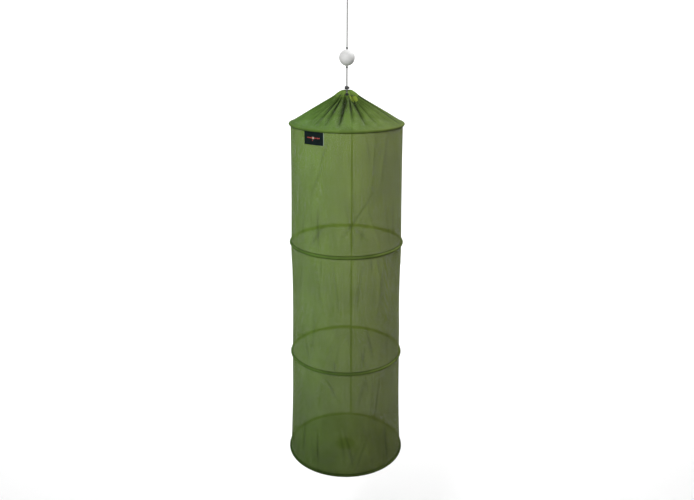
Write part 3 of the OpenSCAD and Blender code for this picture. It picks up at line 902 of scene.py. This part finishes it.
def make_wall(section, upper, lower):
    """One section of mesh between two hoops, with the seam tape down its back."""
    top, bottom = wall_ends(upper, lower)
    down = np.linspace(0, 1, WALL_ROWS)[:, None]
    az = around(WALL_ROUND)
    radius, folded = wall_radius(az, down, upper, lower, section)
    points = round_points(az, radius, top + (bottom - top) * down)
    round_length = 2 * math.pi * HOOP[lower][0]
    wall = grid_piece("mesh_wall_" + section, points, MESH, (round_length, top - bottom), folded=folded)
    place(wall, BODY[upper], "wall_" + section, slot="mesh_fabric")
    across = np.linspace(-0.5, 0.5, 9)[None, :]
    tape_az = math.radians(SEAM_AZ) + across * TAPE_W / HOOP[upper][0]
    inside = tape_rise(across, 1.0 * MM, 0.5 * MM, 0.5 * MM)
    tape_r, _ = wall_radius(tape_az, down, upper, lower, section)
    tape_points = round_points(tape_az, tape_r - inside, top + (bottom - top) * down)
    tape = grid_piece("seam_tape_" + section, tape_points[:, ::-1], TAPE, (TAPE_W, top - bottom), wrap=False)
    place(tape, BODY[upper], "seam_" + section, slot="seam_tape")
    for soft in (wall, tape):
        fold_with(soft, SECTION_JOINT[section], top, bottom)
    return wall, tape


walls = {section: make_wall(section, upper, lower) for section, upper, lower in SECTIONS}


# ---------------- sleeves and their stitches

SLEEVE_ROUND, SLEEVE_SIDES = 900, 20
SLEEVE_ROOM = 0.45 * MM  # how far the cloth lies inside its full size, on the mean
CRUMPLE_WAVES, CRUMPLE_DEPTH = (41, 67, 97, 139), 0.16 * MM
EDGE_W = 1.6 * MM  # of the sewn edge of a wall that shows beside a sleeve
EDGE_RISE = (0.2, 0.9, 0.9, 0.3)  # how far it stands off the wall, in mm, from inside the sleeve outward
STITCH_PITCH, STITCH_T = 5.5 * MM, 0.7 * MM
STITCH_SHARE = 0.66  # of its pitch that a stitch is long


def make_sleeve(ring):
    """The slightly crumpled cloth tube round a hoop."""
    radius, middle = HOOP[ring]
    az = around(SLEEVE_ROUND)
    pick = np.random.default_rng(len(ring) + 50)
    crumple = sum(CRUMPLE_DEPTH * np.sin(n * az + pick.uniform(0, 6)) for n in CRUMPLE_WAVES)
    turn = np.linspace(0, 2 * math.pi, SLEEVE_SIDES + 1)[:-1, None]
    tube = SLEEVE_R - SLEEVE_ROOM + crumple * (0.6 + 0.4 * np.sin(3 * turn))
    points = round_points(az, radius + tube * np.cos(turn), middle + tube * np.sin(turn))
    points = np.concatenate([points, points[:1]])
    cloth = DARK_SLEEVE if ring == "base" else SLEEVE
    sleeve = grid_piece("hoop_sleeve_" + ring, points, cloth, (2 * math.pi * radius, 2 * math.pi * SLEEVE_R))
    return place(sleeve, BODY[ring], "sleeve_" + ring, slot="sleeve_fabric")


def ring_stitches(name, radius, height, body):
    """A row of stitches all the way round beside a hoop."""
    count = int(2 * math.pi * radius / STITCH_PITCH)
    az = np.arange(count) * 2 * math.pi / count
    centres = round_points(az, radius, height)
    along = np.stack([-np.sin(az), np.cos(az), np.zeros(count)], -1)
    piece = stitch_row(name, centres, along, STITCH_SHARE * STITCH_PITCH, STITCH_T, THREAD)
    return place(piece, body, slot="seam_tape")


def sewn_edge(name, section, upper, lower, at_top):
    """The doubled edge of the cloth where a wall is sewn to a sleeve, just outside the wall, coloured dark
    as painted shade beside the sleeve.
    """
    height = HOOP[upper][1] - HOOP[lower][1]
    from_ring = np.array([0.5 * SLEEVE_R, SLEEVE_R, SLEEVE_R + 0.4 * EDGE_W, SLEEVE_R + EDGE_W])[:, None]
    lift = np.array(EDGE_RISE)[:, None] * MM
    down = from_ring / height if at_top else 1 - from_ring[::-1] / height
    az = around(WALL_ROUND)
    radius, _ = wall_radius(az, down, upper, lower, section)
    points = round_points(az, radius + (lift if at_top else lift[::-1]), HOOP[upper][1] - down * height)
    piece = grid_piece(name, points, SHADED_EDGE, (2 * math.pi * HOOP[upper][0], 2 * EDGE_W))
    place(piece, BODY[upper], slot="mesh_fabric")
    fold_with(piece, SECTION_JOINT[section], *wall_ends(upper, lower))
    return piece


edges = {(section, at_top): sewn_edge("sewn_edge_%s_of_%s" % ("top" if at_top else "foot", section),
                                      section, upper, lower, at_top)
         for section, upper, lower in SECTIONS for at_top in (True, False)}

for ring in RINGS:
    make_sleeve(ring)
for ring in RINGS:
    hoop_r, hoop_z = HOOP[ring]
    stitch_r, stitch_drop = hoop_r - WALL_INSET + 0.5 * MM, SLEEVE_R + 1 * MM
    if ring != "base":
        ring_stitches("stitches_under_" + ring, stitch_r, hoop_z - stitch_drop, BODY[ring])
    if ring != "top":
        ring_stitches("stitches_over_" + ring, stitch_r, hoop_z + stitch_drop, BODY[ring])


# ---------------- base

PUCKERS, PUCKER_H = 46, 0.9 * MM
PUCKER_FROM = 0.8  # of the base's radius, from where the puckers grow outward
BASE_WAVES, BASE_WAVE_H = 5, 1.5 * MM
PIN_HOLE = 0.3 * MM  # a turned piece starts this far from its axis


def make_base():
    """The flat base, waving a little and drawn in fine radial puckers at its edge."""
    radius, middle = HOOP["base"]
    floor = middle - SLEEVE_R
    r = np.linspace(0.5 * MM, radius, 60)[::-1, None]
    az = around(360)
    near_edge = np.clip((r - PUCKER_FROM * radius) / ((1 - PUCKER_FROM) * radius), 0, 1)
    pucker = PUCKER_H * np.sin(PUCKERS * az) * near_edge
    wave = BASE_WAVE_H * np.sin(BASE_WAVES * az + 1) * np.sin(math.pi * r / radius)
    points = round_points(az, r, floor + 0.3 * MM + np.abs(pucker) + np.abs(wave))
    base = grid_piece("base_mesh", points, BASE, (2 * math.pi * radius, radius))
    return place(base, "base_ring", "base_panel", slot="base_fabric")


def make_patch():
    """The round patch: flat, with a stitched groove 2 mm inside its edge."""
    low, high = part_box("base_patch")
    edge = (high.x - low.x) / 2
    top = high.z + 0.8 * MM
    outline = [(PIN_HOLE, top), (0.7 * edge, top)]
    for inside, sunk in ((3, 0.1), (2, 0.5), (1, 0.1), (0, 0.7)):
        outline.append((edge - inside * MM, top - sunk * MM))
    outline += [(edge, low.z), (PIN_HOLE, low.z)]
    patch = turned("centre_patch", outline, PATCH, 120)
    return place(patch, "base_ring", "base_patch", slot="base_fabric")


base_mesh = make_base()
centre_patch = make_patch()


# ---------------- label

LABEL_T = 0.8 * MM
LABEL_LIFT = 1.2 * MM  # from the wall's middle to the label's face
LABEL_HEM_H, LABEL_HEM_W = 0.35 * MM, 2.2 * MM  # the folded edge
GROOVE_D, GROOVE_W, GROOVE_IN = 0.3 * MM, 0.6 * MM, 3.2 * MM  # and its stitched groove, inside the edge
MARK_H, MARK_SUNK, MARK_FLAT = 0.9 * MM, 0.1 * MM, 8 * MM
MARK_STEP = 0.075  # from one diamond to the next, as a share of the label's width


def on_label(across, down, lift):
    """A point on the label: across and down run from 0 to 1 over it."""
    low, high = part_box("label")
    az = math.radians(LABEL_AZ) + (across - 0.5) * LABEL_W / HOOP["top"][0]
    height = high.z - down * (high.z - low.z)
    share = (HOOP["top"][1] - height) / (HOOP["top"][1] - HOOP["upper"][1])
    radius, _ = wall_radius(az, share, "top", "upper", "upper")
    return round_points(az, radius + lift, height)


def make_label():
    """A woven label with folded edges and a plain mark of its own: a row of diamonds round a pale one."""
    across, down = np.linspace(0, 1, 61)[None, :], np.linspace(0, 1, 41)[:, None]
    border = np.minimum(np.minimum(across, 1 - across) * LABEL_W, np.minimum(down, 1 - down) * LABEL_H)
    hem = LABEL_HEM_H * np.exp(-(border / LABEL_HEM_W) ** 2)
    groove = GROOVE_D * np.exp(-((border - GROOVE_IN) / GROOVE_W) ** 2)
    lift = LABEL_LIFT + hem - groove
    face = grid_piece("label_cloth", on_label(across, down, lift), LABEL, (LABEL_W, LABEL_H), wrap=False)
    thick = face.modifiers.new("thickness", "SOLIDIFY")
    thick.thickness = LABEL_T
    apply_modifiers(face)
    place(face, "top_ring", "label", slot="label_fabric")
    marks = []
    for k in range(-4, 5):
        material = MARK if k else MARK_PALE
        half_w = 0.036 if k else 0.042
        half_h = 0.05 + 0.02 * (k % 2) if k else 0.11
        name = "label_mark_%d" % (k + 5)
        marks.append(diamond(name, 0.5 + MARK_STEP * k, 0.46, half_w, half_h, lift.min(), material))
    marks.append(diamond("label_mark_drop", 0.47, 0.64, 0.018, 0.06, lift.min(), MARK))
    return [face, *marks, label_edge()]


def diamond(name, across, down, half_w, half_h, lift, material):
    """One raised, satin-stitched diamond of the label's mark."""
    u, v = np.meshgrid(np.linspace(-1, 1, 9), np.linspace(-1, 1, 13))
    width = half_w * (1 - 0.92 * np.abs(v))
    rise = lift + MARK_H * (1 - 0.5 * u ** 2) * (1 - 0.6 * v ** 2) - MARK_SUNK
    piece = grid_piece(name, on_label(across + u * width, down + v * half_h, rise), material,
                       (MARK_FLAT, MARK_FLAT), wrap=False)
    return place(piece, "top_ring", slot="label_fabric")


def label_edge():
    """The pale woven edge down one side of the label."""
    across, down = np.linspace(0.985, 1.03, 7)[None, :], np.linspace(0.01, 0.99, 31)[:, None]
    piece = grid_piece("label_side_edge", on_label(across, down, 1.0 * MM), LABEL_EDGE,
                       (3 * MM, LABEL_H), wrap=False)
    return place(piece, "top_ring", slot="label_fabric")


label_pieces = make_label()
for soft in label_pieces:
    fold_with(soft, "upper_fold", *wall_ends("top", "upper"))


# ---------------- CAD pieces that stay

def paint(node, material):
    """Gives a CAD piece its material."""
    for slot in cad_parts[node].material_slots:
        slot.material = material


for ring in RINGS:
    paint("hoop_" + ring, STEEL)
    paint("ferrule_" + ring, STEEL)
paint("lock_spring", STEEL)
paint("mouth_eyelet", EYELET)
paint("cord_lock", BLACK)
paint("lock_button", BLACK)


# ---------------- stage and light

FLOOR_Z = HOOP["base"][1] - 1.0  # the net hangs a metre over the floor
HALF_FLOOR, WALL_Y, WALL_H, SWEEP_R = 14.0, 9.0, 8.0, 3.0
KEY_W, TOP_W, BACKDROP_W = 46, 24, 1040
SKY = 0.10


def make_stage():
    """A pale floor that sweeps up into a wall behind the net."""
    foot = WALL_Y - SWEEP_R
    profile = [(-HALF_FLOOR, 0.0), (foot, 0.0)]
    for a in np.linspace(0.1, math.pi / 2, 12):
        profile.append((foot + SWEEP_R * math.sin(a), SWEEP_R * (1 - math.cos(a))))
    profile.append((WALL_Y, WALL_H))
    points = np.array([[(x, y, FLOOR_Z + z) for y, z in profile] for x in (-HALF_FLOOR, HALF_FLOOR)])
    material, shader, w = new_material("pale floor", 0.9)
    tone = w.mix(w.noise(w.place(), 2.0), (0.93, 0.93, 0.93, 1), (0.90, 0.90, 0.90, 1))
    w.put(tone, shader.inputs["Base Color"])
    grid_piece("floor", points, material, (1, 1), wrap=False)


def area_light(name, at, target, power, width, depth):
    """A rectangle of light, in watts and metres, turned towards a target."""
    data = bpy.data.lights.new(name, "AREA")
    data.shape = "RECTANGLE"
    data.size = width
    data.size_y = depth
    data.energy = power
    lamp = bpy.data.objects.new(name, data)
    lamp.location = at
    lamp.rotation_euler = (Vector(target) - Vector(at)).to_track_quat("-Z", "Y").to_euler()
    bpy.context.scene.collection.objects.link(lamp)


def make_light():
    area_light("key light", (-0.6, -1.85, 0.4), (0, 0, -0.62), KEY_W, 0.5, 0.5)
    area_light("top light", (1.0, 0.5, 0.75), (0, 0, -0.45), TOP_W, 0.3, 0.3)
    area_light("backdrop light", (0, 3.2, 4.2), (0, 8, -0.6), BACKDROP_W, 13, 4)
    world = bpy.data.worlds.new("studio")
    world.use_nodes = True
    sky = world.node_tree.nodes["Background"]
    sky.inputs["Color"].default_value = (1, 1, 1, 1)
    sky.inputs["Strength"].default_value = SKY
    bpy.context.scene.world = world
    bpy.context.scene.view_settings.view_transform = "Standard"


make_stage()
make_light()
